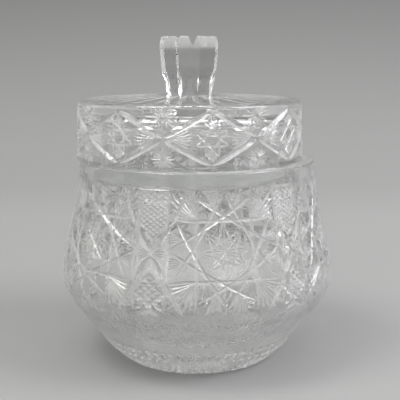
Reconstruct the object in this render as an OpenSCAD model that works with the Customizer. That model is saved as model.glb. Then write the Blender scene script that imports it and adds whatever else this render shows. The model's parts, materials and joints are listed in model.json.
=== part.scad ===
// Cut-glass biscuit jar: a squat jar, a loose drum-shaped lid and the lid's faceted knob.
// Origin: centre of the underside. +Z is up. Millimetres.
// Angles round the jar start at the front (-Y) and grow towards +X.

/* [Jar] */
// Height of the jar without its lid
jar_h = 112; // [100:1:130]
// Outer radius of the rim
rim_r = 65.4; // [60:0.1:70]
// Largest outer radius, at the belly
belly_r = 76.3; // [74:0.1:84]
// Height of the largest radius
belly_z = 49; // [44:0.5:54]
// Radius of the tight curve below the belly line
belly_low_bend = 24; // [18:1:30]
// Radius of the flat curve above the belly line
belly_high_bend = 62; // [50:1:72]
// Lean of the lower cone from upright, in degrees
cone_lean = 36.5; // [32:0.5:40]
// Height of the steep heel above the foot
heel_h = 8; // [5:0.5:11]
// Radius of the flat foot
foot_r = 42.5; // [38:0.5:45]
// Thickness of the side wall
wall = 6.4; // [5:0.1:8]
// Thickness of the bottom
floor_t = 11; // [8:0.5:14]
// Depth of the straight bore in the neck
neck_depth = 14; // [13:0.5:20]
// Roundness of the inner corner above the bottom
bowl_ease = 20; // [8:0.5:22]
// Bevel of the ground edges of rim, lid and foot
edge = 0.8; // [0.3:0.1:1.2]

/* [Lid] */
// Outer radius of the lid at its seat
lid_r = 62.9; // [60:0.1:66]
// Height of the lid's side above its seat
lid_side_h = 33; // [28:0.5:38]
// Lean of the lid's side from upright, in degrees
lid_draft = 1.7; // [0.5:0.1:3]
// Radius of the lid's shoulder
shoulder = 2.6; // [1.5:0.1:4]
// Rise of the lid's dome above its shoulder
dome_rise = 2.4; // [1.5:0.1:5]
// Thickness of the lid's top
crown_t = 6.5; // [5:0.1:9]
// Depth of the locating ring below the seat
plug_depth = 10.5; // [6:0.5:12]
// Thickness of the locating ring
plug_wall = 4.2; // [3:0.1:6]
// Play of the locating ring in the neck, all round
lid_play = 4.4; // [1:0.1:5]
// Gap left at the side that the lid is pushed to
rest_gap = 0.3; // [0.2:0.1:0.6]
// Widening of the lid's hollow from its mouth to its top
hollow_flare = 3.2; // [1:0.1:5]
// Roundness of the lid's hollow under its shoulder
hollow_ease = 7; // [4:0.5:10]

/* [Knob] */
// Height of the knob above the lid
knob_h = 31.5; // [26:0.5:36]
// Radius over the knob's corners at its foot
knob_foot_r = 13; // [10:0.1:14]
// Radius over the knob's corners at its waist
knob_waist_r = 16.2; // [14:0.1:17]
// Radius over the knob's corners at its top
knob_top_r = 17.2; // [15:0.1:19]
// Height of the waist above the lid
knob_waist_z = 14; // [10:0.5:16]
// Height of the bevel round the knob's top
knob_bevel = 6; // [1:0.1:8]
// How far the bevel leans in over its height
knob_bevel_in = 0.9; // [0.5:0.1:2.5]
// Turn of the knob's facets about its axis, in degrees
knob_turn = -2.5; // [-22:0.5:22]
// Number of lines of the star on the knob's top, one of them a deep notch
knob_star_lines = 6; // [4:1:8]
// Turn of the star about the knob's axis, in degrees
knob_star_turn = 9; // [-15:0.5:15]
// Depth of the star at the knob's rim
knob_star_depth = 1.4; // [0.8:0.1:3]
// Depth of the notch at the knob's rim
knob_notch_depth = 5.6; // [2:0.1:6.5]
// Offset of the notch from the knob's axis
knob_notch_x = 1.4; // [0:0.1:3]
// Turn of the notch, in degrees
knob_notch_turn = 2; // [-15:0.5:15]
// Included angle of the star and the notch, in degrees
knob_wheel = 35; // [25:1:60]

/* [Cut pattern] */
// Included angle of the mitre wheel, in degrees
mitre = 104; // [90:1:120]
// Repeats of the pattern round the jar
jar_repeats = 6; // [4:1:8]
// Direction of the first star panel, in degrees
panel_a = 11.7; // [0:0.1:30]
// Height of the star panels' centres
star_z = 74.5; // [70:0.5:80]
// Reach of the star's points
star_r = 28.5; // [24:0.5:30]
// Number of points of the star
star_points = 12; // [8:4:16]
// Depth of the star's long mitres
star_depth = 1.3; // [0.8:0.1:1.8]
// Reach of the small star on the central button
button_r = 10.5; // [8:0.5:12]
// Depth of the fine rays
ray_depth = 0.9; // [0.5:0.1:1.2]
// Top of the pattern
pattern_top = 103.5; // [100:0.5:106]
// Bottom of the pattern
pattern_low = 44; // [42:0.5:50]
// Half width of the column between two panels, in degrees
column_half = 8.2; // [6:0.1:10]
// Height of the crossing in each column
cross_z = 72.5; // [70:0.5:78]
// Spread of the crossing's arms at their ends, in degrees
cross_spread = 14.5; // [10:0.5:16]
// Depth of the crossing's arms
cross_depth = 1.7; // [1:0.1:2.2]
// Half width of the hatched fields in each column
hatch_half = 8; // [5:0.5:9]
// Spacing of the hatch lines above the crossing
high_hatch = 4.4; // [2:0.1:6]
// Spacing of the hatch lines below the crossing
low_hatch = 2.8; // [2:0.1:6]
// Greatest depth of the hatch lines
hatch_depth = 1.2; // [0.5:0.1:1.4]
// Lean of the hatch lines from level, in degrees
hatch_lean = 38; // [25:1:50]
// Flutes round the heel
heel_flutes = 72; // [36:1:84]
// Depth of the heel's flutes
heel_flute_depth = 1.5; // [0.8:0.1:1.7]
// Repeats of the pattern round the lid
lid_repeats = 8; // [6:1:10]
// Direction of the first diamond on the lid, in degrees
diamond_a = 11; // [0:0.1:22]
// Half height of the lid's diamonds
diamond_half = 13.2; // [10:0.1:14]
// Depth of the diamonds' mitres
diamond_depth = 1.5; // [0.8:0.1:2]
// Reach of the stars above the lid's crossings
high_star_r = 6.8; // [4:0.1:8]
// Reach of the stars below the lid's crossings
low_star_r = 5.2; // [3:0.1:6]
// Number of lines through each small star
small_star_lines = 4; // [3:1:6]
// Rays of the star on the lid's top
crown_rays = 32; // [16:4:40]
// Depth of the rays on the lid's top
crown_depth = 0.9; // [0.3:0.1:1.2]
// Reach of the star under the foot
foot_star_r = 36; // [25:0.5:37]
// Depth of the star under the foot, at its points
foot_star_depth = 2; // [1:0.1:3]
// Number of lines through the star under the foot
foot_star_lines = 12; // [6:1:14]

/* [Hidden] */
$fn = 96;

// Steps along each bend of a profile
bend_steps = 4;
// Height of a cutter above the glass
clear = 1.5;
// Overlap of two cuts that follow on
lap = 0.4;

// Jar profile, from the foot to the rim
low_z = belly_z - belly_low_bend * sin(cone_lean);
low_r = belly_r - belly_low_bend * (1 - cos(cone_lean));
heel_r = low_r - (low_z - heel_h) * tan(cone_lean);
high_lean = 17;
high_z = belly_z + belly_high_bend * sin(high_lean);
high_r = belly_r - belly_high_bend * (1 - cos(high_lean));
neck_run = jar_h - high_z;
neck_bow = (rim_r - high_r + tan(high_lean) * neck_run) / (neck_run * neck_run);

// A bend's points as [height, radius], about a centre, from one lean to another
function bend(z, r, radius, from, to) = [
    for (i = [0:bend_steps])
        let (t = from + (to - from) * i / bend_steps)
            [z + radius * sin(t), r - radius * (1 - cos(t))]
];

// The slack curve from the belly up to the rim
function slack(t) = high_r - tan(high_lean) * t + neck_bow * t * t;

jar_wall = concat(
    [[0, foot_r], [heel_h, heel_r]],
    bend(belly_z, belly_r, belly_low_bend, -cone_lean, 0),
    [for (i = [1:bend_steps - 1])
        let (t = high_lean * i / bend_steps)
            [belly_z + belly_high_bend * sin(t), belly_r - belly_high_bend * (1 - cos(t))]],
    [for (i = [0:bend_steps]) let (t = neck_run * i / bend_steps) [high_z + t, slack(t)]]
);

function out_r(z) = lookup(z, jar_wall);
function lean_at(z, side) = atan(lookup(z + 0.5, side) - lookup(z - 0.5, side));

// Inner face of the jar: the outer one, one wall thickness in
neck_r = rim_r - wall;
neck_z = jar_h - neck_depth;
bowl_z = floor_t + bowl_ease;
function in_r(z) = max(neck_r, out_r(z) - wall / cos(lean_at(z, jar_wall)));
bowl_top = [out_r(bowl_z) - wall / cos(lean_at(bowl_z, jar_wall)), bowl_z];
bowl_corner = [bowl_top[0] - bowl_ease * tan(cone_lean), floor_t];
bowl_floor = [bowl_corner[0] - bowl_ease, floor_t];

// Lid
seat_z = jar_h;
plug_r = neck_r - lid_play;
lid_x = -(lid_play - rest_gap);
lid_top_r = lid_r - lid_side_h * tan(lid_draft);
lid_h = lid_side_h + dome_rise;
land_r = knob_foot_r + 1.5;
hollow_r = plug_r - plug_wall;
hollow_top_r = hollow_r + hollow_flare;
hollow_h = lid_h - crown_t;
lid_wall = [[seat_z, lid_r], [seat_z + lid_side_h, lid_top_r]];
lid_mid_z = seat_z + lid_side_h / 2;

// Cut pattern
jar_pitch = 360 / jar_repeats;
lid_pitch = 360 / lid_repeats;
pattern_r = out_r(star_z);

// A place near a pattern's centre, mm across and up, as [angle, height]
function spot(centre, r, across, up) = centre + [across / r * 180 / PI, up];

// Groove of a wheel along X, its keel `depth` under the glass
module mitre_groove(length, depth, angle = mitre) {
    half = (depth + clear) * tan(angle / 2);
    rotate([90, 0, 90])
        linear_extrude(height = length, center = true)
            polygon([[-half, clear], [0, -depth], [half, clear]]);
}

// Grooves side by side along X, which leave sharp ridges between them
module comb(width, length, gap, depth) {
    lines = max(1, floor(width / gap));
    ridge = min(clear / 2, gap / 2 / tan(mitre / 2) - depth);
    rotate([90, 0, 90])
        linear_extrude(height = length, center = true)
            polygon(concat(
                [[-lines * gap / 2, clear]],
                [for (i = [0:2 * lines]) [(i - lines) * gap / 2, i % 2 == 0 ? ridge : -depth]],
                [[lines * gap / 2, clear]]
            ));
}

// Cut along a wall from one [angle, height] to another, in one or more straight strokes
module wall_cut(side, from, to, depth, strokes = 1) {
    for (i = [0:strokes - 1]) {
        step = (to - from) / strokes;
        mid = from + step * (i + 0.5);
        r = lookup(mid[1], side);
        lean = lean_at(mid[1], side);
        across = step[0] * PI / 180 * r;
        up = step[1] / cos(lean);
        rotate(mid[0])
            translate([0, -r, mid[1]])
                rotate([90 + lean, 0, 0])
                    rotate(atan2(up, across))
                        mitre_groove(norm([across, up]) + 2 * lap, depth);
    }
}

// Rays through one centre
module wall_star(side, centre, r, reach, lines, depth) {
    for (i = [0:lines - 1]) {
        t = 180 / lines * i;
        tip = reach * [cos(t), sin(t)];
        wall_cut(side, spot(centre, r, -tip[0], -tip[1]), spot(centre, r, tip[0], tip[1]), depth);
    }
}

// Rays that open from one point
module wall_fan(side, centre, r, apex, turn, spread, rays, length, depth) {
    for (i = [0:rays - 1]) {
        t = turn + spread * (rays == 1 ? 0 : i / (rays - 1) - 0.5);
        tip = apex + length * [cos(t), sin(t)];
        wall_cut(side, spot(centre, r, apex[0], apex[1]), spot(centre, r, tip[0], tip[1]), depth);
    }
}

// Hatched field on the jar's wall, inside an outline given from a point on it
module hatch(a, z, outline, gap) {
    depth = min(gap / 2 / tan(mitre / 2) + 0.1, hatch_depth);
    reach = max([for (p = outline) norm(p)]);
    rotate(a)
        translate([0, -out_r(z), z])
            rotate([90 + lean_at(z, jar_wall), 0, 0])
                intersection() {
                    translate([0, 0, -depth - lap])
                        linear_extrude(height = depth + lap + clear)
                            polygon(outline);
                    union() {
                        for (s = [-1, 1])
                            rotate(s * hatch_lean)
                                comb(2 * reach, 2 * reach, gap, depth);
                    }
                }
}

// Flute across the edge between the heel and the cone, which runs out both ways
module heel_flute(a) {
    lean = (lean_at(heel_h / 2, jar_wall) + cone_lean) / 2;
    rotate(a)
        translate([0, -out_r(heel_h), heel_h])
            rotate([90 + lean, 0, 0])
                rotate(90)
                    mitre_groove(3 * heel_h, heel_flute_depth);
}

// One panel: a many-pointed star of long mitres, with fans between its points
module star_panel(centre) {
    step = 360 / star_points;
    fan_r = star_r * 0.7;
    for (i = [0:star_points - 1]) {
        t = i * step;
        a = star_r * [cos(t - 60), sin(t - 60)];
        b = star_r * [cos(t + 60), sin(t + 60)];
        level = abs(sin(t)) > 0.9;
        wall_cut(jar_wall, spot(centre, pattern_r, a[0], a[1]), spot(centre, pattern_r, b[0], b[1]),
            star_depth, level ? 3 : 2);
    }
    wall_star(jar_wall, centre, pattern_r, button_r, 4, ray_depth);
    for (i = [0:star_points - 1]) {
        t = (i + 0.5) * step;
        corner = abs(abs(cos(t)) - abs(sin(t))) < 0.1;
        wall_fan(jar_wall, centre, pattern_r, fan_r * [cos(t), sin(t)], t, corner ? 66 : 0,
            corner ? 5 : 1, corner ? star_r * 0.5 : star_r * 0.32, ray_depth);
    }
}

// One column: a long crossing and two hatched fields between upright mitres
module cross_column(a) {
    high_run = (pattern_top - cross_z) / 2;
    low_run = (cross_z - pattern_low) / 3;
    for (s = [-1, 1]) {
        wall_cut(jar_wall, [a + s * column_half, pattern_low], [a + s * column_half, pattern_top],
            ray_depth, 2);
        wall_cut(jar_wall, [a, cross_z], [a + s * cross_spread, pattern_top], cross_depth);
        wall_cut(jar_wall, [a, cross_z], [a + s * cross_spread, pattern_low], cross_depth, 2);
    }
    wall_star(jar_wall, [a, cross_z], pattern_r, column_half, 2, ray_depth);
    hatch(a, cross_z + high_run * 1.2,
        [[0, -high_run * 0.85], [hatch_half, -high_run * 0.15], [hatch_half, high_run * 0.75],
            [-hatch_half, high_run * 0.75], [-hatch_half, -high_run * 0.15]], high_hatch);
    hatch(a, cross_z - low_run * 1.9,
        [[0, low_run], [-hatch_half, -low_run * 0.2], [0, -low_run * 0.85],
            [hatch_half, -low_run * 0.2]], low_hatch);
}

// Star cut under the foot, clear of the ring that the jar stands on
module foot_star() {
    for (i = [0:foot_star_lines - 1])
        rotate(180 / foot_star_lines * (i + 0.5))
            rotate([180, 0, 0])
                for (s = [-1, 1])
                    translate([s * foot_star_r / 2, 0, 0])
                        rotate([0, s * atan(foot_star_depth * 0.9 / foot_star_r), 0])
                            mitre_groove(foot_star_r, foot_star_depth * 0.55);
}

module jar_blank() {
    rotate_extrude()
        polygon(concat(
            [[0, 0], [foot_r - edge, 0]],
            [for (p = jar_wall) if (p[1] != rim_r && p[0] > 0) [p[1], p[0]]],
            [[out_r(jar_h - edge), jar_h - edge], [rim_r - edge, jar_h]],
            [[neck_r + edge, jar_h], [neck_r, jar_h - edge], [neck_r, neck_z]],
            [for (z = [neck_z - 2, (neck_z + high_z) / 2, high_z, (high_z + belly_z) / 2,
                belly_z, (belly_z + low_z) / 2, low_z]) [in_r(z), z]],
            [for (i = [0:bend_steps])
                let (t = i / bend_steps)
                    (1 - t) * (1 - t) * bowl_top + 2 * t * (1 - t) * bowl_corner + t * t * bowl_floor],
            [[0, floor_t]]
        ));
}

module jar() {
    color([0.86, 0.88, 0.87, 0.6])
        difference() {
            jar_blank();
            for (i = [0:jar_repeats - 1]) {
                star_panel([panel_a + jar_pitch * i, star_z]);
                cross_column(panel_a + jar_pitch * (i + 0.5));
            }
            for (i = [0:heel_flutes - 1])
                heel_flute(360 / heel_flutes * (i + 0.5));
            foot_star();
        }
}

module lid_blank() {
    translate([0, 0, seat_z])
        rotate_extrude()
            polygon(concat(
                [[hollow_r, -plug_depth], [plug_r - edge, -plug_depth], [plug_r, edge - plug_depth],
                    [plug_r, 0], [lid_r - edge, 0], [lid_r - edge * tan(lid_draft), edge]],
                [for (i = [0:bend_steps])
                    let (t = 90 * i / bend_steps)
                        [lid_top_r - shoulder * (1 - cos(t)), lid_side_h - shoulder * (1 - sin(t))]],
                [for (i = [1:bend_steps])
                    let (t = 1 - i / bend_steps)
                        [land_r + (lid_top_r - shoulder - land_r) * t, lid_h - dome_rise * t * t]],
                [[0, lid_h]],
                [for (i = [0:bend_steps])
                    let (t = i / bend_steps)
                        [(hollow_top_r - hollow_ease) * t, hollow_h - dome_rise * t * t]],
                [for (i = [1:bend_steps])
                    let (t = 90 * i / bend_steps)
                        [hollow_top_r - hollow_ease * (1 - sin(t)),
                            hollow_h - dome_rise - hollow_ease * (1 - cos(t))]]
            ));
}

// Rays on the lid's top, from the knob's land to the shoulder
module crown_star() {
    start = land_r + 2;
    end = lid_top_r - shoulder - 1;
    fall = dome_rise * pow((end - land_r) / (end + 1 - land_r), 2);
    for (i = [0:crown_rays - 1])
        rotate(360 / crown_rays * (i + 0.5))
            translate([(start + end) / 2, 0, seat_z + lid_h - fall / 2])
                rotate([0, atan(fall / (end - start)), 0])
                    mitre_groove(end - start, crown_depth);
}

module lid() {
    color([0.88, 0.9, 0.89, 0.6])
        translate([lid_x, 0, 0])
            difference() {
                lid_blank();
                for (i = [0:lid_repeats - 1]) {
                    a = diamond_a + lid_pitch * i;
                    cross = a + lid_pitch / 2;
                    for (s = [-1, 1])
                        for (t = [-1, 1])
                            wall_cut(lid_wall, [a, lid_mid_z + t * diamond_half],
                                [a + s * lid_pitch / 2, lid_mid_z], diamond_depth, 2);
                    wall_star(lid_wall, [a, lid_mid_z], lid_r, low_star_r, small_star_lines, ray_depth);
                    wall_star(lid_wall, [cross, lid_mid_z + diamond_half * 0.8], lid_r, high_star_r,
                        small_star_lines, ray_depth);
                    wall_star(lid_wall, [cross, lid_mid_z - diamond_half * 0.74], lid_r, low_star_r,
                        small_star_lines, ray_depth);
                }
                crown_star();
            }
}

// Line across the knob's top, cut a little deeper at the rim than in the middle
module knob_line(depth) {
    for (s = [-1, 1])
        translate([s * knob_top_r * 0.55, 0, knob_h])
            rotate([0, s * atan(lap / knob_top_r * 2), 0])
                mitre_groove(knob_top_r * 1.2, depth - lap, knob_wheel);
}

module knob() {
    side_h = knob_h - knob_waist_z - knob_bevel;
    color([0.9, 0.91, 0.9, 0.6])
        translate([lid_x, 0, seat_z + lid_h])
            difference() {
                rotate(knob_turn + 22.5)
                    union() {
                        cylinder(h = knob_waist_z, r1 = knob_foot_r, r2 = knob_waist_r, $fn = 8);
                        translate([0, 0, knob_waist_z])
                            cylinder(h = side_h, r1 = knob_waist_r, r2 = knob_top_r, $fn = 8);
                        translate([0, 0, knob_waist_z + side_h])
                            cylinder(h = knob_bevel, r1 = knob_top_r, r2 = knob_top_r - knob_bevel_in,
                                $fn = 8);
                    }
                for (i = [1:knob_star_lines - 1])
                    rotate(knob_star_turn + 180 / knob_star_lines * i - 90)
                        knob_line(knob_star_depth);
                rotate(knob_notch_turn)
                    translate([knob_notch_x, 0, 0])
                        rotate(-90)
                            knob_line(knob_notch_depth);
            }
}

jar();
lid();
knob();
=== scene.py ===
import json
import math

import bpy
import numpy as np
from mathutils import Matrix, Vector

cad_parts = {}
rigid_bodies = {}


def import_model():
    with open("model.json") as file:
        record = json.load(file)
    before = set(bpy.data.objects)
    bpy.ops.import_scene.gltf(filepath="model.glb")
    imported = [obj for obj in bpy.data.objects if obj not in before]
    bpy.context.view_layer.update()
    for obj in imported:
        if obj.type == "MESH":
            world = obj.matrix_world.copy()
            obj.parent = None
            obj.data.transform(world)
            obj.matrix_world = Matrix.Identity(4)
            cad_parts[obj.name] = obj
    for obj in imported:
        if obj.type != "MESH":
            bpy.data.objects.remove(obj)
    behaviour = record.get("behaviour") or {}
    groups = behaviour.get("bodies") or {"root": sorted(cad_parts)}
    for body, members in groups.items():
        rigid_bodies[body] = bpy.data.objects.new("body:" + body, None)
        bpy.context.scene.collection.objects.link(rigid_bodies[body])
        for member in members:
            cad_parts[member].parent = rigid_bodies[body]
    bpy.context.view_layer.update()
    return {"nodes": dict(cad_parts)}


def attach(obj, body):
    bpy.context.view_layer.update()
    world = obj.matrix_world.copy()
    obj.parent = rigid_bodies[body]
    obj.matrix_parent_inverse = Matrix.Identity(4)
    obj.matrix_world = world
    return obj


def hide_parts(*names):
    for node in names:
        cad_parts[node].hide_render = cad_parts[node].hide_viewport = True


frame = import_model()
print("frame: loaded", ", ".join(sorted(frame["nodes"])))

mm = 0.001
wheel = {
    "mitre": 104.0,  # included angle of the cutting wheel
    "lift": 0.4,  # how far a cutter stands over the glass
    "ringGap": 2.4,  # longest stretch of a cut between two rings
    "sharp": 20.0,  # edges steeper than this stay crisp
}
wheelSlope = math.tan(math.radians(wheel["mitre"] / 2))


class Value:
    # A shader socket that takes part in ordinary arithmetic
    def __init__(self, finish, socket):
        self.finish = finish
        self.socket = socket

    def __add__(self, other):
        return self.finish.math("ADD", self, other)

    def __sub__(self, other):
        return self.finish.math("SUBTRACT", self, other)

    def __rsub__(self, other):
        return self.finish.math("SUBTRACT", other, self)

    def __mul__(self, other):
        return self.finish.math("MULTIPLY", self, other)

    def __truediv__(self, other):
        return self.finish.math("DIVIDE", self, other)

    def __pow__(self, other):
        return self.finish.math("POWER", self, other)

    __radd__ = __add__
    __rmul__ = __mul__


class Finish:
    # One material and the nodes that make it
    def __init__(self, name):
        self.material = bpy.data.materials.new(name)
        self.material.use_nodes = True
        self.tree = self.material.node_tree
        self.tree.nodes.clear()

    def feed(self, socket, value):
        if isinstance(value, Value):
            self.tree.links.new(value.socket, socket)
        elif hasattr(value, "__len__") and len(value) == 3 and socket.type == "RGBA":
            socket.default_value = (*value, 1.0)
        else:
            socket.default_value = value

    def add(self, kind, settings=None, sockets=None, out=0):
        node = self.tree.nodes.new("ShaderNode" + kind)
        for key, value in (settings or {}).items():
            if key == "stops":
                for stop, (place, shade) in zip(node.color_ramp.elements, value):
                    stop.position = place
                    stop.color = (shade, shade, shade, 1.0)
            else:
                setattr(node, key, value)
        for key, value in (sockets or {}).items():
            self.feed(node.inputs[key], value)
        return Value(self, node.outputs[out]) if len(node.outputs) else None

    def math(self, operation, *values):
        return self.add("Math", {"operation": operation}, dict(enumerate(values)))

    def clamp(self, value):
        return self.add("Clamp", None, {"Value": value})

    # 0 below `low`, 1 above `high`
    def step(self, value, low, high):
        return self.clamp((value - low) / (high - low))

    def blend(self, share, first, second):
        return self.add("Mix", {"data_type": "RGBA"}, {0: share, 6: first, 7: second}, 2)

    def noise(self, place, scale, detail=3.0, rough=0.5):
        return self.add("TexNoise", None,
            {"Vector": place, "Scale": scale, "Detail": detail, "Roughness": rough})

    def close(self, shader):
        self.add("OutputMaterial", None, {"Surface": shader})
        return self.material

    # Glass whose shadow is pale, because lamps shine through it
    def closeGlass(self, glass):
        shadow = self.add("LightPath", None, None, "Is Shadow Ray")
        passed = self.add("BsdfTransparent", None, {"Color": glassLook["passed"]})
        return self.close(self.add("MixShader", None, {0: shadow, 1: glass, 2: passed}))


# Glass

glassLook = {
    "ior": 1.53,
    "clear": (0.985, 0.99, 0.985),
    "deep": (0.935, 0.946, 0.938),
    "polish": 0.012,
    "polishLow": 0.05,
    "ground": 0.22,
    "passed": (0.44, 0.44, 0.438),  # share of lamp light that gets through each surface
}


def makeGlass(name, worn, wave=0.12):
    f = Finish(name)
    place = f.add("TexCoord", None, None, "Object")
    cloud = f.noise(place, 55.0, 2.0)
    fine = f.noise(place, 420.0, 4.0, 0.6)
    drawn = f.add("VectorMath", {"operation": "MULTIPLY"}, {0: place, 1: (1.0, 1.0, 0.12)})
    streak = f.noise(drawn, 240.0, 2.0)
    ground = worn(f, f.add("SeparateXYZ", None, {0: place}, 2))
    tint = f.blend(cloud, glassLook["clear"], glassLook["deep"])
    rough = glassLook["polish"] + f.step(fine, 0.5, 0.8) * glassLook["polishLow"]
    rough = rough + ground * glassLook["ground"]
    waves = cloud * 0.7 + streak * 0.3
    bump = f.add("Bump", None, {"Strength": wave, "Distance": 0.0012, "Height": waves})
    glass = f.add("BsdfPrincipled", None, {"Base Color": tint, "Roughness": rough, "IOR": glassLook["ior"],
        "Transmission Weight": 1.0, "Normal": bump})
    return f.closeGlass(glass)


# Worked glass: `clearness` is the share of light that passes, the rest is caught as white
cutLook = {
    "clear": (0.95, 0.95, 0.945),
    "deep": (0.85, 0.855, 0.845),
    "grain": 420.0,
    "upright": 1.0,  # under 1 stretches the grain upright
    "relief": 0.12,
    "polish": 0.02,
    "uneven": 0.06,
    "clearness": 0.74,
}
# The ground rim, seat and locating ring
groundLook = {
    "clear": (0.99, 0.99, 0.98),
    "deep": (0.92, 0.925, 0.915),
    "grain": 260.0,
    "upright": 0.2,
    "relief": 0.12,
    "polish": 0.12,
    "uneven": 0.12,
    "clearness": 0.76,
}
# The cone under the pattern, with the marks of its polishing
coneLook = {
    "clear": (0.995, 0.995, 0.99),
    "deep": (0.93, 0.935, 0.925),
    "grain": 270.0,
    "upright": 0.8,
    "relief": 0.55,
    "polish": 0.015,
    "uneven": 0.03,
    "clearness": 0.95,
}
# The knob's ground crown
crownLook = {
    "clear": (0.995, 0.995, 0.985),
    "deep": (0.93, 0.935, 0.92),
    "grain": 120.0,
    "upright": 0.6,
    "relief": 0.3,
    "polish": 0.06,
    "uneven": 0.1,
    "clearness": 0.86,
}
# The cuts across the heel, clearer than those of the pattern
heelLook = {
    "clear": (0.99, 0.99, 0.985),
    "deep": (0.92, 0.925, 0.915),
    "grain": 420.0,
    "upright": 1.0,
    "relief": 0.1,
    "polish": 0.012,
    "uneven": 0.03,
    "clearness": 0.93,
}
# The ring and star under the foot
footLook = {
    "clear": (1.0, 1.0, 0.99),
    "deep": (0.93, 0.935, 0.92),
    "grain": 300.0,
    "upright": 1.0,
    "relief": 0.5,
    "polish": 0.12,
    "uneven": 0.25,
    "clearness": 0.5,
}


def makeCutGlass(name, look):
    f = Finish(name)
    place = f.add("VectorMath", {"operation": "MULTIPLY"},
        {0: f.add("TexCoord", None, None, "Object"), 1: (1.0, 1.0, look["upright"])})
    cloud = f.step(f.noise(place, look["grain"], 3.0, 0.65), 0.36, 0.66)
    bump = f.add("Bump", None, {"Strength": look["relief"], "Distance": 0.0005,
        "Height": f.noise(place, look["grain"] * 1.7, 2.0)})
    glass = f.add("BsdfPrincipled", None, {"Base Color": f.blend(cloud, look["clear"], look["deep"]),
        "Roughness": look["polish"] + cloud * look["uneven"], "IOR": glassLook["ior"],
        "Transmission Weight": look["clearness"], "Normal": bump})
    return f.closeGlass(glass)


# Where the pieces are rubbed dull: heights in metres between none and full, and how much
wear = {
    "foot": (0.0012, 0.0004, 0.8),
    "seatTop": (0.1124, 0.1119, 0.4),
    "seatLow": (0.1012, 0.1016),
    "crown": (0.1772, 0.1776, 0.1),
}


def footWear(f, height):
    none, full, share = wear["foot"]
    return f.step(height, none, full) * share


def seatWear(f, height):
    none, full, share = wear["seatTop"]
    return f.step(height, none, full) * f.step(height, *wear["seatLow"]) * share


def crownWear(f, height):
    none, full, share = wear["crown"]
    return f.step(height, none, full) * share


finishes = {
    "jar": makeGlass("jar glass", footWear),
    "lid": makeGlass("lid glass", seatWear),
    "knob": makeGlass("knob glass", crownWear, 0.05),
    "cut": makeCutGlass("cut glass", cutLook),
    "ground": makeCutGlass("ground glass", groundLook),
    "foot": makeCutGlass("ground foot", footLook),
    "cone": makeCutGlass("polished cone", coneLook),
    "heel": makeCutGlass("cut heel", heelLook),
    "crown": makeCutGlass("ground crown", crownLook),
}


def addObject(name, mesh):
    thing = bpy.data.objects.new(name, mesh)
    bpy.context.scene.collection.objects.link(thing)
    return thing


def buildMesh(name, points, faces):
    mesh = bpy.data.meshes.new(name)
    mesh.from_pydata([tuple(p) for p in np.asarray(points) * mm], [], faces)
    mesh.update()
    return mesh


# Gives a finish to the faces of a blank between two radii and two heights
def grindZone(blank, centre, finish, radii, heights):
    if finishes[finish].name not in blank.data.materials:
        blank.data.materials.append(finishes[finish])
    slot = blank.data.materials.find(finishes[finish].name)
    for face in blank.data.polygons:
        x, y, z = face.center / mm
        if radii[0] < math.hypot(x - centre, y) < radii[1] and heights[0] < z < heights[1]:
            face.material_index = slot


# Points along straight lines, none further apart than `gap`
def fillLine(points, gap):
    filled = [points[0]]
    for start, end in zip(points, points[1:]):
        count = max(1, math.ceil(math.dist(start, end) / gap))
        for i in range(1, count + 1):
            t = i / count
            filled.append((start[0] + (end[0] - start[0]) * t, start[1] + (end[1] - start[1]) * t))
    return filled


# A quarter round between two faces: centre, radius, first and last direction
def quarter(radius, height, ease, first, last, count=5):
    points = []
    for i in range(count + 1):
        t = math.radians(first + (last - first) * i / count)
        points.append((radius + ease * math.cos(t), height + ease * math.sin(t)))
    return points


# A solid of revolution from an outline that starts and ends on the axis
def turnBlank(name, outline, steps, centre=0.0):
    points = [(centre, 0.0, outline[0][1])]
    rows = []
    angles = np.arange(steps) * 2 * math.pi / steps
    for radius, height in outline[1:-1]:
        rows.append(len(points))
        ring = np.column_stack((centre + radius * np.sin(angles), -radius * np.cos(angles),
            np.full(steps, height)))
        points.extend(map(tuple, ring))
    last = len(points)
    points.append((centre, 0.0, outline[-1][1]))
    faces = []
    for i in range(steps):
        j = (i + 1) % steps
        faces.append((0, rows[0] + j, rows[0] + i))
        for a, b in zip(rows, rows[1:]):
            faces.append((a + i, a + j, b + j, b + i))
        faces.append((last, rows[-1] + i, rows[-1] + j))
    return buildMesh(name, points, faces)


# Places on a turned wall, with the outward normals
def wallPlaces(wall, angles, heights):
    radius = wall["radius"](heights)
    lean = (wall["radius"](heights + 0.2) - wall["radius"](heights - 0.2)) / 0.4
    a = np.radians(angles)
    places = np.column_stack((wall["centre"] + radius * np.sin(a), -radius * np.cos(a), heights))
    normals = np.column_stack((np.sin(a), -np.cos(a), -lean))
    return places, normals / np.linalg.norm(normals, axis=1)[:, None]


# Places on a flat face at one height
def flatPlaces(face, across, along):
    places = np.column_stack((across, along, np.full(len(across), face["height"])))
    return places, np.tile(face["normal"], (len(across), 1))


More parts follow.
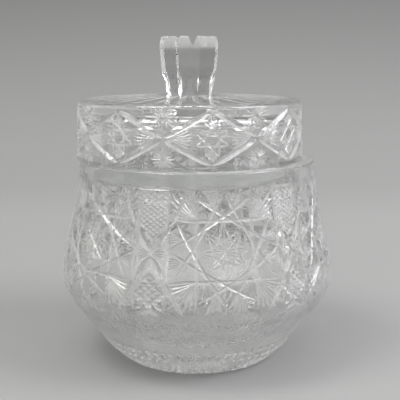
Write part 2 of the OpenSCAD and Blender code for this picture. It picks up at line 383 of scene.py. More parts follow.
# One cut: points across and up from a pattern's centre, its depth, and how far each end runs out
def makeCut(points, depth, ends=None):
    steps = [math.dist(a, b) for a, b in zip(points, points[1:])]
    length = sum(steps)
    start, end = ends if ends else (length / 2, length / 2)
    marks = {0.0, length}
    for share in (0.12, 0.3, 0.55, 1.0):
        marks.add(min(length / 2, start * share))
        marks.add(length - min(length / 2, end * share))
    runs = sorted(marks)
    full = [runs[0]]
    for mark in runs[1:]:
        if mark - full[-1] < 0.05:
            continue
        count = max(1, math.ceil((mark - full[-1]) / wheel["ringGap"]))
        base = full[-1]
        full.extend(base + (mark - base) * (i + 1) / count for i in range(count))
    full[-1] = length
    run = np.array(full)
    at = np.concatenate(([0.0], np.cumsum(steps)))
    spots = np.column_stack([np.interp(run, at, [p[k] for p in points]) for k in (0, 1)])
    rise = np.ones(len(run))
    for reach, away in ((start, run), (end, length - run)):
        if reach > 0:
            t = np.clip(away / reach, 0, 1)
            rise = np.minimum(rise, 1 - (1 - t) ** 2)
    return {"spots": spots, "depth": np.maximum(depth * rise, -0.03)}


# Ends of a cut that lies square to a direction, at a distance from the pattern's centre
def chordEnds(turn, out, half):
    n, t = (math.cos(turn), math.sin(turn)), (-math.sin(turn), math.cos(turn))
    return [(n[0] * out + t[0] * e * half, n[1] * out + t[1] * e * half) for e in (-1, 1)]


# Ends of a cut that runs out from a point
def rayEnds(root, turn, start, end):
    return [(root[0] + r * math.cos(turn), root[1] + r * math.sin(turn)) for r in (start, end)]


# The closed cutter that takes one cut out of the glass
def cutterMesh(cut, places, normals, lift=wheel["lift"], slope=wheelSlope):
    depth = np.where(cut["depth"] < 0.02, -0.05, cut["depth"])[:, None]
    along = np.gradient(places, axis=0)
    along /= np.linalg.norm(along, axis=1)[:, None]
    side = np.cross(normals, along)
    side /= np.linalg.norm(side, axis=1)[:, None]
    half = (np.maximum(depth, 0.0) + lift) * slope
    keel = places - normals * depth
    left = places + normals * lift + side * half
    right = places + normals * lift - side * half
    points = np.stack((keel, left, right), axis=1).reshape(-1, 3)
    faces = [(0, 2, 1)]
    for i in range(len(places) - 1):
        k = 3 * i
        faces += [(k, k + 1, k + 4, k + 3), (k + 1, k + 2, k + 5, k + 4), (k + 2, k, k + 3, k + 5)]
    k = 3 * (len(places) - 1)
    faces.append((k, k + 1, k + 2))
    return points, faces


# Several closed cutters as one list of points and faces
def joinCutters(cutters):
    points, faces, count = [], [], 0
    for somePoints, someFaces in cutters:
        points.append(somePoints)
        faces += [tuple(v + count for v in face) for face in someFaces]
        count += len(somePoints)
    return np.concatenate(points), faces


# Sorts cuts into passes whose cuts don't touch each other, also against the next repeats
def sortPasses(cuts, pitch):
    spread = []
    for cut in cuts:
        spots = cut["spots"]
        width = (np.maximum(cut["depth"], 0) + wheel["lift"]) * wheelSlope * cut.get("crowd", 1.0)
        runs = np.concatenate(([0], np.cumsum(np.linalg.norm(np.diff(spots, axis=0), axis=1))))
        fine = np.linspace(0, runs[-1], max(3, int(runs[-1] / 0.8)))
        spread.append(np.column_stack([np.interp(fine, runs, c)
            for c in (spots[:, 0], spots[:, 1], width)]))
    order = sorted(range(len(cuts)), key=lambda i: -spread[i][:, 2].max() * len(spread[i]))
    passes = []
    for i in order:
        mine = spread[i]
        for group in passes:
            clear = True
            for j in group:
                other = spread[j]
                for shift in (-pitch, 0, pitch) if pitch else (0,):
                    gap = np.hypot(mine[:, None, 0] - other[None, :, 0] - shift,
                        mine[:, None, 1] - other[None, :, 1])
                    if (gap < mine[:, None, 2] + other[None, :, 2] + 0.1).any():
                        clear = False
                        break
                if not clear:
                    break
            if clear:
                group.append(i)
                break
        else:
            passes.append([i])
    return passes


# Takes the cuts of one cell out of a blank, turned `repeats` times about the axis
def carveCell(blank, cuts, wall, zero, scale, repeats, finish="cut"):
    pitch = 360.0 / repeats
    passes = sortPasses(cuts, pitch / scale)
    for number, group in enumerate(passes):
        cutters = []
        for i in group:
            spots = cuts[i]["spots"]
            for k in range(repeats):
                angles = zero[0] + pitch * k + spots[:, 0] * scale
                cutters.append(cutterMesh(cuts[i], *wallPlaces(wall, angles, zero[1] + spots[:, 1])))
        addCutter(blank, f"{blank.name}_{finish}{number}", *joinCutters(cutters), finish)
    print(f"{blank.name}: {len(cuts) * repeats} cuts in {len(passes)} passes, finish {finish}")


def addCutter(blank, name, points, faces, finish="cut"):
    cutter = addObject(name, buildMesh(name, points, faces))
    cutter["cutter"] = blank.name
    cutter.data.materials.append(finishes[finish])
    step = blank.modifiers.new(name, "BOOLEAN")
    step.operation = "DIFFERENCE"
    step.solver = "MANIFOLD"
    step.material_mode = "TRANSFER"
    step.object = cutter


# Applies the cutters and leaves a crisp, closed piece
def finishPiece(piece):
    view = bpy.context.evaluated_depsgraph_get()
    mesh = bpy.data.meshes.new_from_object(piece.evaluated_get(view))
    mesh.name = piece.name
    mesh.validate()
    piece.modifiers.clear()
    piece.data = mesh
    for thing in [o for o in bpy.data.objects if o.get("cutter") == piece.name]:
        spare = thing.data
        bpy.data.objects.remove(thing)
        bpy.data.meshes.remove(spare)
    mesh.shade_smooth()
    mesh.set_sharp_from_angle(angle=math.radians(wheel["sharp"]))
    shares = np.bincount([f.material_index for f in mesh.polygons])
    print(f"{piece.name}: {len(mesh.polygons)} faces, by finish {list(map(int, shares))}")
    return piece


# Jar

jarShape = {
    "height": 112.0,
    "rimRadius": 65.4,
    "bellyRadius": 76.28,
    "bellyHeight": 49.0,
    "lowBend": 24.0,
    "highBend": 62.0,
    "coneLean": 36.5,
    "highLean": 17.0,
    "heelHeight": 8.0,
    "footRadius": 42.5,
    "wall": 6.4,
    "floor": 11.0,
    "neckDepth": 14.0,
    "bowlEase": 20.0,
    "edge": 0.8,
    "segments": 288,
}


def jarRadius(z):
    s = jarShape
    z = np.asarray(z, float)
    cone, high = math.radians(s["coneLean"]), math.radians(s["highLean"])
    lowZ = s["bellyHeight"] - s["lowBend"] * math.sin(cone)
    lowR = s["bellyRadius"] - s["lowBend"] * (1 - math.cos(cone))
    heelR = lowR - (lowZ - s["heelHeight"]) * math.tan(cone)
    highZ = s["bellyHeight"] + s["highBend"] * math.sin(high)
    highR = s["bellyRadius"] - s["highBend"] * (1 - math.cos(high))
    run = s["height"] - highZ
    bow = (s["rimRadius"] - highR + math.tan(high) * run) / run ** 2
    foot = s["footRadius"] + (heelR - s["footRadius"]) * z / s["heelHeight"]
    lower = heelR + (z - s["heelHeight"]) * math.tan(cone)
    below, above = (
        s["bellyRadius"] - bend + np.sqrt(np.maximum(0, bend ** 2 - (s["bellyHeight"] - z) ** 2))
        for bend in (s["lowBend"], s["highBend"]))
    neck = highR - math.tan(high) * (z - highZ) + bow * (z - highZ) ** 2
    return np.select([z < s["heelHeight"], z < lowZ, z < s["bellyHeight"], z < highZ],
        [foot, lower, below, above], neck)


def jarInner(z):
    lean = math.atan(float(jarRadius(z + 0.5) - jarRadius(z - 0.5)))
    bore = jarShape["rimRadius"] - jarShape["wall"]
    return max(bore, float(jarRadius(z)) - jarShape["wall"] / math.cos(lean))


def jarOutline():
    s = jarShape
    top, edge = s["height"], s["edge"]
    neckR = s["rimRadius"] - s["wall"]
    rise = (float(jarRadius(4)) - s["footRadius"]) / 4
    outside = [(s["footRadius"] - edge, 0.0), (s["footRadius"] - 0.2, 0.16)]
    outside.append((s["footRadius"] + rise * edge, edge))
    outside += [(float(jarRadius(z)), z) for z in np.linspace(2.2, s["heelHeight"] - 0.6, 4)]
    outside += [(float(jarRadius(z)), z) for z in np.linspace(s["heelHeight"] + 0.4, top - edge, 62)]
    rim = quarter(s["rimRadius"] - edge, top - edge, edge, 20, 90, 4)
    rim += quarter(neckR + edge, top - edge, edge, 90, 180, 4)
    inside = [(neckR, z) for z in np.linspace(top - edge - 1.5, top - s["neckDepth"] + 1, 4)]
    bowlZ = s["floor"] + s["bowlEase"]
    inside += [(jarInner(z), z) for z in np.linspace(top - s["neckDepth"] - 1.5, bowlZ, 34)]
    corner = (inside[-1][0] - s["bowlEase"] * math.tan(math.radians(s["coneLean"])), s["floor"])
    for i in range(1, 15):
        t = i / 14
        inside.append(tuple((1 - t) ** 2 * a + 2 * t * (1 - t) * b + t * t * c
            for a, b, c in zip((jarInner(bowlZ), bowlZ), corner, (corner[0] - s["bowlEase"], s["floor"]))))
    foot = fillLine([(6.0, 0.0), (s["footRadius"] - edge, 0.0)], 6.0)[:-1]
    base = fillLine([inside[-1], (5.0, s["floor"])], 5.0)[1:]
    return [(0.0, 0.0)] + foot + outside + rim + inside + base + [(0.0, s["floor"])]


jarCuts = {
    "repeats": 6,
    "panelAngle": 11.7,
    "panelHeight": 74.5,
    "radius": 71.5,  # where the pattern's widths are measured
    "starReach": 29.0,
    "starRun": 14.5,  # distance of the long mitres from the star's centre
    "starDepth": 0.82,
    "fanDepth": 0.62,
    "buttonReach": 13.0,
    "buttonDepth": 0.5,
    "border": 29.6,
    "borderTop": 29.0,
    "borderLow": -30.5,
    "borderDepth": 0.95,
    "crossHeight": 72.6,
    "upperArm": [(0.6, 0.8), (5.3, 6.8), (10.3, 14.2), (14.6, 23.2), (18.4, 33.0)],
    "lowerArm": [(0.5, -1.0), (17.0, -30.0)],
    "armDepth": 1.5,
    "armTail": 0.72,  # depth of an arm past its bend, as a share
    "hatchDepth": 0.8,
    "diamondDepth": 1.1,
    "rayDepth": 0.6,  # short rays at the crossing
}


def fanCuts(apex, directions, depth, limit):
    cuts = []
    for turn in directions:
        t = math.radians(turn)
        reach = limit(apex, math.cos(t), math.sin(t))
        if reach >= 2.5:
            cuts.append(makeCut(rayEnds(apex, t, 0.5, reach), depth, (reach * 0.55, reach * 0.3)))
    return cuts


def starPanel():
    s = jarCuts
    cuts = []
    half = math.sqrt(s["starReach"] ** 2 - s["starRun"] ** 2)
    for k in range(12):
        ends = chordEnds(math.radians(30 * k), s["starRun"], half)
        cuts.append(makeCut(ends, s["starDepth"], (9, 9)))

    def toBorder(apex, c, sn):
        reaches = []
        if abs(c) > 0.02:
            reaches.append((math.copysign(s["border"] - 1.2, c) - apex[0]) / c)
        if abs(sn) > 0.02:
            reaches.append(((s["borderTop"] - 0.5 if sn > 0 else s["borderLow"] + 0.5) - apex[1]) / sn)
        return min(reaches)

    notch = s["starRun"] / math.cos(math.radians(45)) + 0.4
    for k in range(12):
        turn = 15 + 30 * k
        apex = (notch * math.cos(math.radians(turn)), notch * math.sin(math.radians(turn)))
        level = round(turn / 90) * 90
        if abs(turn - level) > 40:
            turns = [turn - 43 + 86 * i / 8 for i in range(9)]
        else:
            lean = (turn - level) * 0.35
            turns = [level + lean - 19 + 38 * i / 4 for i in range(5)]
        cuts += fanCuts(apex, turns, s["fanDepth"], toBorder)

    # Small star on the button
    for k in range(8):
        a = math.radians(22.5 * k + 4)
        r = s["buttonReach"] * (1.0 if k % 2 == 0 else 0.8)
        cuts.append(makeCut([(-r * math.cos(a), -r * math.sin(a)), (r * math.cos(a), r * math.sin(a))],
            s["buttonDepth"], (r * 0.8, r * 0.8)))
    for k in range(8):
        ends = chordEnds(math.radians(45 * k + 26), 5, 10.5)
        cuts.append(makeCut(ends, s["buttonDepth"], (5, 5)))
    for e in (-1, 1):
        edge = e * s["border"]
        cuts.append(makeCut([(edge, s["borderLow"]), (edge, s["borderTop"] + 1)], s["borderDepth"], (8, 6)))
    return cuts


# Straight hatch lines over a field with straight sides
def hatchField(field, lean, gap, depth, shift=0.0):
    cuts = []
    c, s = math.cos(math.radians(lean)), math.sin(math.radians(lean))
    rows = [-x * s + y * c for x, y in field]
    offset = math.ceil((min(rows) - shift) / gap) * gap + shift
    while offset < max(rows):
        hits = []
        for (x0, y0), (x1, y1) in zip(field, field[1:] + field[:1]):
            a, b = -x0 * s + y0 * c - offset, -x1 * s + y1 * c - offset
            if (a < 0) != (b < 0):
                t = a / (a - b)
                hits.append((x0 + (x1 - x0) * t) * c + (y0 + (y1 - y0) * t) * s)
        if len(hits) >= 2 and max(hits) - min(hits) > gap * 0.8:
            ends = [(r * c - offset * s, r * s + offset * c) for r in (min(hits) - 0.3, max(hits) + 0.3)]
            run = min(1.6, (max(hits) - min(hits)) * 0.4)
            cuts.append(makeCut(ends, depth, (run, run)))
        offset += gap
    return cuts


# The column lies half a repeat from the panel: its cuts are given from the crossing
def crossColumn():
    s = jarCuts
    cuts = []
    for e in (-1, 1):
        arm = [(e * x, y) for x, y in s["upperArm"]]
        cuts.append(makeCut(arm[:3], s["armDepth"], (5.5, 9)))
        knee = (arm[2][0] - e * 0.9, arm[2][1] - 1.4)
        cuts.append(makeCut([knee] + arm[3:], s["armDepth"] * s["armTail"], (7, 9)))
        low = [(e * x, y) for x, y in s["lowerArm"]]
        bend = (e * 7.0, -12.4)
        cuts.append(makeCut([low[0], bend], s["armDepth"], (5, 6.5)))
        knee = (bend[0] - e * 0.8, bend[1] + 1.4)
        cuts.append(makeCut([knee, low[1]], s["armDepth"] * s["armTail"], (6, 9)))
        cuts.append(makeCut([(e * 2.0, -26.4), (-e * 5.6, -30.6)], 1.3, (3.4, 4.4)))
        cuts.append(makeCut([(e * -2.4, -23.8), (-e * 6.9, -27.6)], 0.9, (2.6, 2.6)))
    upper = [(-9.2, 30.2), (-8.4, 16.0), (0.0, 5.2), (8.4, 16.0), (9.2, 30.2)]
    lower = [(0.0, -7.6), (7.8, -20.0), (5.0, -24.0), (0.0, -26.2), (-5.0, -24.0), (-7.8, -20.0)]
    for e in (-1, 1):
        cuts += hatchField(upper, e * 32, 2.05, s["hatchDepth"], 0.4)
        cuts += hatchField(lower, e * 40, 2.75, s["diamondDepth"], 0.6)
    for turn, reach in ((-24, 7), (-12, 8), (0, 8), (12, 8), (24, 7), (83, 5), (97, 5)):
        for flip in (0, 180):
            ends = rayEnds((0.0, 0.0), math.radians(turn + flip), 0.7, reach)
            cuts.append(makeCut(ends, s["rayDepth"]))
    cuts.append(makeCut([(-9.5, 31.4), (9.5, 31.4)], 0.4, (3, 3)))
    return cuts


heelShape = {
    "flutes": 12,
    "height": 8.0,
    "low": -1.2,
    "top": 19.5,
    "depth": 1.5,
    "slantRun": 6.6,  # how far a slanting cut goes round, at the pattern's radius
    "slantTop": 18.5,
    "slantDepth": 1.1,
    "levels": (4.2, 10.2, 15.4),  # heights of the short level cuts between the flutes
    "levelDepth": 0.9,
}


def shiftCuts(cuts, across, up):
    for cut in cuts:
        cut["spots"] = cut["spots"] + np.array((across, up))
    return cuts


# A flute is a straight line from the foot's edge to the cone, deepest at the heel between them
def heelCuts():
    s = heelShape
    cuts = []
    gap = math.radians(360 / jarCuts["repeats"]) * jarCuts["radius"] / s["flutes"]
    low, heel, top = (float(jarRadius(z)) for z in (max(s["low"], 0), s["height"], s["top"]))
    heights = np.array([s["low"], 0.6, 2.5, 4.5, 6.4, 7.7, 8.3, 9.6, 11.5, 13.5, 15.6, 17.6, s["top"]])
    chord = np.interp(heights, (s["low"], s["top"]), (low, top))
    deep = jarRadius(np.maximum(heights, 0)) - chord
    deep = deep * s["depth"] / deep.max()
    crowd = jarCuts["radius"] / low  # cuts lie closer on the narrow heel
    for k in range(s["flutes"]):
        spots = np.column_stack((np.full(len(heights), (k + 0.5) * gap), heights))
        cuts.append({"spots": spots, "depth": np.maximum(deep, -0.03), "crowd": crowd})
        for e in (-1, 1):
            middle = (k + (0.25 if e > 0 else 0.75)) * gap
            ends = [(middle - e * s["slantRun"] / 2, -1.5), (middle + e * s["slantRun"] / 2, s["slantTop"])]
            slant = makeCut(ends, s["slantDepth"], (2, 4))
            slant["crowd"] = crowd
            cuts.append(slant)
        for i, level in enumerate(s["levels"]):
            start = (k + 0.5 * (i % 2)) * gap
            lift = 0.7 * math.sin(2.4 * k + i)
            ends = [(start + 0.2, level + lift), (start + gap - 0.2, level - lift)]
            across = makeCut(ends, s["levelDepth"])
            across["crowd"] = crowd
            cuts.append(across)
    return cuts


jar = addObject("jar_glass", turnBlank("jar_blank", jarOutline(), jarShape["segments"]))
jar.data.materials.append(finishes["jar"])
grindZone(jar, 0.0, "ground", (59.4, 64.8), (111.4, 113))
grindZone(jar, 0.0, "foot", (0, 42.4), (-1, 0.1))
grindZone(jar, 0.0, "cone", (42.4, 76), (0.1, 42))
jarWall = {"radius": jarRadius, "centre": 0.0}
cellScale = math.degrees(1 / jarCuts["radius"])
columnAcross = 30 / cellScale
cell = starPanel() + shiftCuts(crossColumn(), columnAcross, jarCuts["crossHeight"] - jarCuts["panelHeight"])
heel = shiftCuts(heelCuts(), columnAcross, -jarCuts["panelHeight"])
cellZero = (jarCuts["panelAngle"], jarCuts["panelHeight"])
carveCell(jar, cell, jarWall, cellZero, cellScale, jarCuts["repeats"])
carveCell(jar, heel, jarWall, cellZero, cellScale, jarCuts["repeats"], "heel")


# Star under the foot, clear of the ring that the jar stands on
footStar = {"lines": 12, "reach": 36.4, "depth": 2.0}


def cutFootStar():
    face = {"height": 0.0, "normal": (0.0, 0.0, -1.0)}
    for k in range(footStar["lines"]):
        a = math.radians(180 / footStar["lines"] * (k + 0.5))
        cutters = []
        for e in (-1, 1):
            ends = rayEnds((0.0, 0.0), a, e * 1.2, e * footStar["reach"])
            cut = makeCut(ends, footStar["depth"], (34, 1.5))
            cutters.append(cutterMesh(cut, *flatPlaces(face, cut["spots"][:, 0], cut["spots"][:, 1])))
        addCutter(jar, f"foot_star{k}", *joinCutters(cutters), "foot")


cutFootStar()
print("jar: cut")


# Lid

lidShape = {
    "seatHeight": 112.0,
    "shift": -4.1,  # the loose lid lies pushed to one side of its play
    "film": 0.06,  # air under the lid's seat
    "radius": 62.9,
    "sideHeight": 33.0,
    "draft": 1.7,
    "shoulder": 2.6,
    "domeRise": 2.4,
    "crown": 6.5,
    "plugDepth": 10.5,
    "plugRadius": 54.6,
    "hollowRadius": 50.4,
    "hollowFlare": 3.2,
    "hollowEase": 7.0,
    "edge": 0.8,
    "segments": 256,
}


def lidRadius(z):
    s = lidShape
    return s["radius"] - (np.asarray(z, float) - s["seatHeight"]) * math.tan(math.radians(s["draft"]))


def lidOutline():
    s = lidShape
    seat, side, edge = s["seatHeight"], s["sideHeight"], s["edge"]
    topR = float(lidRadius(seat + side))
    height = side + s["domeRise"]
    hollowTop = s["hollowRadius"] + s["hollowFlare"]
    hollowH = height - s["crown"]
    plugLow, under = seat - s["plugDepth"], seat + s["film"]
    outside = [(s["hollowRadius"] + 0.8, plugLow)]
    outside += quarter(s["plugRadius"] - edge, plugLow + edge, edge, -90, 0, 4)
    outside += [(s["plugRadius"], z) for z in np.linspace(plugLow + 2.2, under - 1, 4)]
    outside += [(s["plugRadius"], under)]
    outside += fillLine([(s["plugRadius"] + 1.5, under), (s["radius"] - edge, under)], 3)
    outside += quarter(s["radius"] - edge, under + edge, edge, -70, 0, 3)
    outside += [(float(lidRadius(z)), z) for z in np.linspace(seat + 2, seat + side - s["shoulder"], 20)]
    outside += quarter(topR - s["shoulder"], seat + side - s["shoulder"], s["shoulder"], 12, 90, 7)
    domeR = topR - s["shoulder"]
    dome = [(domeR * t, seat + height - s["domeRise"] * t * t) for t in np.linspace(0.96, 0.08, 18)]
    innerR = hollowTop - s["hollowEase"]
    ceiling = [(innerR * t, seat + hollowH - s["domeRise"] * t * t) for t in np.linspace(0.1, 1.0, 12)]
    bend = []
    for i in range(1, 9):
        t = math.radians(90 * i / 8)
        bend.append((hollowTop - s["hollowEase"] * (1 - math.sin(t)),
            seat + hollowH - s["domeRise"] - s["hollowEase"] * (1 - math.cos(t))))
    down = fillLine([bend[-1], (s["hollowRadius"], plugLow + 0.8)], 3.5)[1:]
    down.append((s["hollowRadius"] + 0.25, plugLow + 0.2))
    # From the ceiling's middle down the hollow, round the ring and up over the dome
    return [(0.0, seat + hollowH)] + ceiling + bend + down + outside + dome + [(0.0, seat + height)]


lidCuts = {
    "repeats": 8,
    "diamondAngle": 11.0,
    "middle": 128.6,
    "halfHeight": 13.2,
    "radius": 62.4,
    "mitreDepth": 1.3,
    "highStar": (10.9, 7.6, 9.4),  # height over the crossing, reach up and down, reach sideways
    "lowStar": (-9.9, 6.2, 6.8),
    "starDepth": 0.46,
    "flowerReach": 8.8,
    "flowerDepth": 0.58,
    "sideFan": 0.6,  # depths of the fans at a diamond's side corners and at its top and bottom
    "endFan": 0.7,
}


def lidCell():
    s = lidCuts
    half = math.radians(360 / s["repeats"] / 2) * s["radius"]
    cuts = []
    for e in (-1, 1):
        for f in (-1, 1):
            ends = [(0.4 * e, f * s["halfHeight"]), (e * (half - 0.3), f * 0.4)]
            cuts.append(makeCut(ends, s["mitreDepth"], (7, 5)))
    for up, tall, wide in (s["highStar"], s["lowStar"]):
        for k in range(16):
            t = math.radians(22.5 * k)
            reach = 1 / math.hypot(math.cos(t) / wide, math.sin(t) / tall)
            if k % 2:
                reach *= 0.86
            cuts.append(makeCut(rayEnds((half, up), t, 0.7, reach), s["starDepth"]))
    # Small star in the diamond, with rays to the diamond's corners
    run = s["flowerReach"] * math.cos(math.radians(67.5))
    reach = math.sqrt(s["flowerReach"] ** 2 - run ** 2)
    for k in range(8):
        cuts.append(makeCut(chordEnds(math.radians(45 * k), run, reach), s["flowerDepth"], (3, 3)))
    for e in (-1, 1):
        for k in range(6):
            turn = math.radians(-25 + 10 * k)
            tip = (e * (half - 3.2), 0.0)
            ends = [(tip[0] - e * r * math.cos(turn), tip[1] + r * math.sin(turn)) for r in (0.8, 12.0)]
            cuts.append(makeCut(ends, s["sideFan"], (6, 4)))
        for k in range(5):
            turn = math.radians(90 + (k - 2) * 19)
            root = (0.0, e * 4.6)
            droop = 1 - 0.08 * abs(k - 2)
            end = (root[0] + 6.2 * math.cos(turn), root[1] + e * 6.2 * math.sin(turn) * droop)
            cuts.append(makeCut([(0.4 * math.cos(turn), root[1] + e * 0.4), end], s["endFan"], (3.6, 1.6)))
    return cuts


lid = addObject("lid_glass", turnBlank("lid_blank", lidOutline(), lidShape["segments"], lidShape["shift"]))
lid.data.materials.append(finishes["lid"])
grindZone(lid, lidShape["shift"], "ground", (55, 62.6), (111, 112.4))
grindZone(lid, lidShape["shift"], "ground", (54.4, 54.8), (103, 112))
lidWall = {"radius": lidRadius, "centre": lidShape["shift"]}
carveCell(lid, lidCell(), lidWall, (lidCuts["diamondAngle"], lidCuts["middle"]),
    math.degrees(1 / lidCuts["radius"]), lidCuts["repeats"])


# Star of rays on the lid's top, from the knob out to the shoulder
crownStar = {"rays": 32, "start": 16.5, "reach": 57.5, "depth": 1.0}


def domeHeight(r):
    s = lidShape
    domeR = float(lidRadius(s["seatHeight"] + s["sideHeight"])) - s["shoulder"]
    return s["seatHeight"] + s["sideHeight"] + s["domeRise"] * (1 - (r / domeR) ** 2)


def cutCrownStar():
    s = crownStar
    cut = makeCut([(s["start"], 0.0), (s["reach"], 0.0)], s["depth"], (16, 8))
    r = cut["spots"][:, 0]
    slope = np.gradient(domeHeight(r), r)
    cutters = []
    for k in range(s["rays"]):
        a = 2 * math.pi * (k + 0.5) / s["rays"]
        places = np.column_stack((lidShape["shift"] + r * math.sin(a), -r * math.cos(a), domeHeight(r)))
        normals = np.column_stack((-slope * math.sin(a), slope * math.cos(a), np.ones(len(r))))
        normals /= np.linalg.norm(normals, axis=1)[:, None]
        cutters.append(cutterMesh(cut, places, normals))
    addCutter(lid, "crown_star", *joinCutters(cutters))


cutCrownStar()
print("lid: cut")


# Knob

knobShape = {
    "base": 147.4,
    "sunk": 0.12,  # the foot is fused into the lid's top
    "height": 31.5,
    "footRadius": 13.0,
    "waistRadius": 16.2,
    "topRadius": 17.2,
    "waistHeight": 14.0,
    "bevel": 6.0,
    "bevelIn": 0.7,
    "ease": 1.4,  # round at the crown's rim
    "turn": -2.5,
    "flute": 0.6,  # how hollow the facets are ground under the waist
    "lines": 6,
    "lineTurn": 9.0,
    "lineDepth": (1.4, 1.0),  # at the rim and in the middle
    "notchAside": 1.4,  # the deep notch passes beside the axis
    "notchTurn": 2.0,
    "notchDepth": (5.6, 5.2),
    "lineSlope": 0.8,  # half the width of a line to its depth
    "notchSlope": 0.42,
    "sideAside": -6.5,  # a shallow line beside the notch
    "sideDepth": (1.1, 1.0),
    "sideSlope": 1.1,
}


def knobBlank():
    s = knobShape
    sides, columns = 8, 8
    rows = []
    lowRun = s["waistHeight"]
    for z in np.linspace(0, lowRun, 15):
        t = z / lowRun
        hollow = s["flute"] * max(0.0, math.sin(math.pi * min(1, t / 0.97))) ** 0.7
        rows.append((z, s["footRadius"] + (s["waistRadius"] - s["footRadius"]) * t, hollow))
    bevelZ = s["height"] - s["bevel"]
    for z in np.linspace(lowRun, bevelZ, 6)[1:]:
        t = (z - lowRun) / (bevelZ - lowRun)
        rows.append((z, s["waistRadius"] + (s["topRadius"] - s["waistRadius"]) * t, 0.0))
    for i in range(1, 5):
        t = i / 4
        rows.append((bevelZ + (s["bevel"] - s["ease"]) * t, s["topRadius"] - s["bevelIn"] * t ** 3, 0.0))
    # The rim's round, whose last row is level with the flat top
    for i in range(1, 6):
        t = math.radians(15 * i)
        drop = s["ease"] * (1 - math.sin(t)) if i < 5 else 0.0
        radius = s["topRadius"] - s["bevelIn"] - s["ease"] * (1 - math.cos(t))
        rows.append((s["height"] - drop, radius, 0.0))
    points, faces = [], []
    around = sides * columns
    for z, radius, hollow in rows:
        height = s["base"] - s["sunk"] + z * (1 + s["sunk"] / s["height"])
        for i in range(around):
            side, u = divmod(i, columns)
            u = u / columns
            a = math.radians(s["turn"] + 22.5 + 45 * side)
            b = a + math.radians(45)
            x = math.sin(a) + (math.sin(b) - math.sin(a)) * u
            y = -math.cos(a) - (math.cos(b) - math.cos(a)) * u
            pull = hollow * (1 - (2 * u - 1) ** 2) / (radius * math.cos(math.radians(22.5)))
            points.append((lidShape["shift"] + radius * x * (1 - pull), radius * y * (1 - pull), height))
    for j in range(len(rows) - 1):
        for i in range(around):
            k = (i + 1) % around
            faces.append((j * around + i, j * around + k, (j + 1) * around + k, (j + 1) * around + i))
    faces.append(tuple(reversed(range(around))))
    top = len(points)
    points.append((lidShape["shift"], 0.0, s["base"] + s["height"]))
    for i in range(around):
        faces.append((top, (len(rows) - 1) * around + i, (len(rows) - 1) * around + (i + 1) % around))
    return buildMesh("knob_blank", points, faces)


def cutKnobStar(knob):
    s = knobShape
    lines = [(s["notchTurn"], s["notchAside"], s["notchDepth"], s["notchSlope"]),
        (s["notchTurn"], s["sideAside"], s["sideDepth"], s["sideSlope"])]
    for k in range(1, s["lines"]):
        lines.append((s["lineTurn"] + 180 / s["lines"] * k, 0.0, s["lineDepth"], s["lineSlope"]))
    for k, (turn, aside, (rim, middle), slope) in enumerate(lines):
        a = math.radians(turn)
        reach = np.linspace(-19, 19, 13)
        places = np.column_stack((lidShape["shift"] + aside * math.cos(a) + reach * math.sin(a),
            aside * math.sin(a) - reach * math.cos(a), np.full(13, s["base"] + s["height"])))
        cut = {"depth": middle + (rim - middle) * (np.abs(reach) / 16) ** 2}
        points, faces = cutterMesh(cut, places, np.tile((0.0, 0.0, 1.0), (13, 1)), 1.0, slope)
        addCutter(knob, f"knob_line{k}", points, faces, "crown")


knob = addObject("knob_glass", knobBlank())
knob.data.materials.append(finishes["knob"])
grindZone(knob, lidShape["shift"], "crown", (0, 17.1), (173.0, 180))
cutKnobStar(knob)
print("knob: cut")


finishPiece(jar)
finishPiece(lid)
finishPiece(knob)
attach(jar, "jar")
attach(lid, "lid")
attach(knob, "lid")
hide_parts("jar")
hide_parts("lid")
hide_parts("knob")
print("glass: finished")


# Studio

studio = {
    # The near tone is painted shade: the floor in front of and around the jar is darker than the floor
    # further back
    "nearFloorPaintedShade": 0.335,
    "floorShade": 0.375,  # from where the paper starts to rise
    # The back tone is painted shade: the backdrop is darker up high
    "backdropPaintedShade": 0.215,
    "world": (0.66, 0.66, 0.655),
    "worldStrength": 1.0,
}


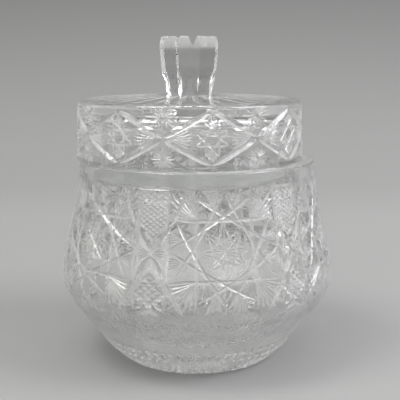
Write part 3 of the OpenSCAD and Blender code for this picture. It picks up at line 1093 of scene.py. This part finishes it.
def makeSweep():
    points, faces = [], []
    profile = [(-1.6, 0.0), (-0.8, 0.0), (-0.3, 0.0), (0.2, 0.0), (0.6, 0.0)]
    for i in range(1, 13):
        t = math.radians(90 * i / 12)
        profile.append((0.6 + 0.7 * math.sin(t), 0.7 * (1 - math.cos(t))))
    profile.append((1.3, 2.4))
    for y, z in profile:
        for x in (-2.4, 2.4):
            points.append((x * 1000, y * 1000, z * 1000 - 0.3))
    for i in range(len(profile) - 1):
        faces.append((2 * i, 2 * i + 1, 2 * i + 3, 2 * i + 2))
    sweep = addObject("studio_sweep", buildMesh("studio_sweep", points, faces))
    sweep.data.shade_smooth()
    # The paper's tone carries painted shade: darker around the jar and up the backdrop
    f = Finish("sweep paper")
    place = f.add("TexCoord", None, None, "Object")
    away = f.add("SeparateXYZ", None, {0: place}, 1)
    height = f.add("SeparateXYZ", None, {0: place}, 2)
    grain = f.noise(place, 900.0, 2.0)
    tones = ("nearFloorPaintedShade", "floorShade", "backdropPaintedShade")
    paintedNearTone, low, high = ([studio[tone] * c for c in (1, 1, 0.995)] for tone in tones)
    # Painted shade: the floor is darkest up to 0.12 m behind the jar and lightens to the plain floor tone
    # by 0.4 m
    shade = f.blend(f.step(away, 0.12, 0.4), paintedNearTone, low)
    # Painted shade: the paper darkens from the floor up to 0.3 m, where the backdrop takes the back tone
    shade = f.blend(f.step(height, 0.0, 0.3), shade, high)
    paper = f.add("BsdfPrincipled", None, {"Base Color": shade, "Roughness": 0.85,
        "Normal": f.add("Bump", None, {"Strength": 0.04, "Distance": 0.001, "Height": grain})})
    sweep.data.materials.append(f.close(paper))


def addLight(name, place, target, size, power, colour):
    light = bpy.data.lights.new(name, "AREA")
    light.shape = "RECTANGLE"
    light.size, light.size_y = size
    light.energy = power
    light.color = colour
    thing = bpy.data.objects.new(name, light)
    bpy.context.scene.collection.objects.link(thing)
    thing.location = place
    thing.rotation_euler = (Vector(target) - Vector(place)).to_track_quat("-Z", "Y").to_euler()
    return thing


makeSweep()
addLight("left window", (-0.6, -0.35, 1.3), (0, 0, 0.07), (0.5, 0.5), 8.0, (1.0, 1.0, 0.94))
addLight("right window", (1.0, -0.35, 0.95), (0, 0, 0.07), (0.75, 0.6), 12.5, (0.96, 0.95, 1.0))
addLight("ceiling", (0.0, 0.15, 1.5), (0, 0, 0.05), (1.5, 1.1), 3.0, (1.0, 1.0, 1.0))
addLight("front lamp", (0.1, -0.85, 1.3), (0, 0, 0.07), (1.5, 0.8), 3.0, (1.0, 1.0, 1.0))

world = bpy.data.worlds.new("studio")
bpy.context.scene.world = world
world.use_nodes = True
background = world.node_tree.nodes["Background"]
background.inputs["Color"].default_value = (*studio["world"], 1.0)
background.inputs["Strength"].default_value = studio["worldStrength"]

# Metres, and degrees down from level
cameraView = {"lens": 74.43, "sensor": 36.0, "place": (0.0017, -0.4634, 0.1692), "tilt": 9.99}

cameraData = bpy.data.cameras.new("camera")
cameraData.lens = cameraView["lens"]
cameraData.sensor_width = cameraView["sensor"]
camera = bpy.data.objects.new("camera", cameraData)
bpy.context.scene.collection.objects.link(camera)
camera.location = cameraView["place"]
camera.rotation_euler = (math.radians(90 - cameraView["tilt"]), 0.0, 0.0)
cameraData.clip_start = 0.01
bpy.context.scene.camera = camera

scene = bpy.context.scene
scene.view_settings.view_transform = "Standard"
scene.cycles.max_bounces = 28
scene.cycles.transmission_bounces = 28
scene.cycles.glossy_bounces = 14
scene.cycles.sample_clamp_indirect = 6.0
print("studio: set")
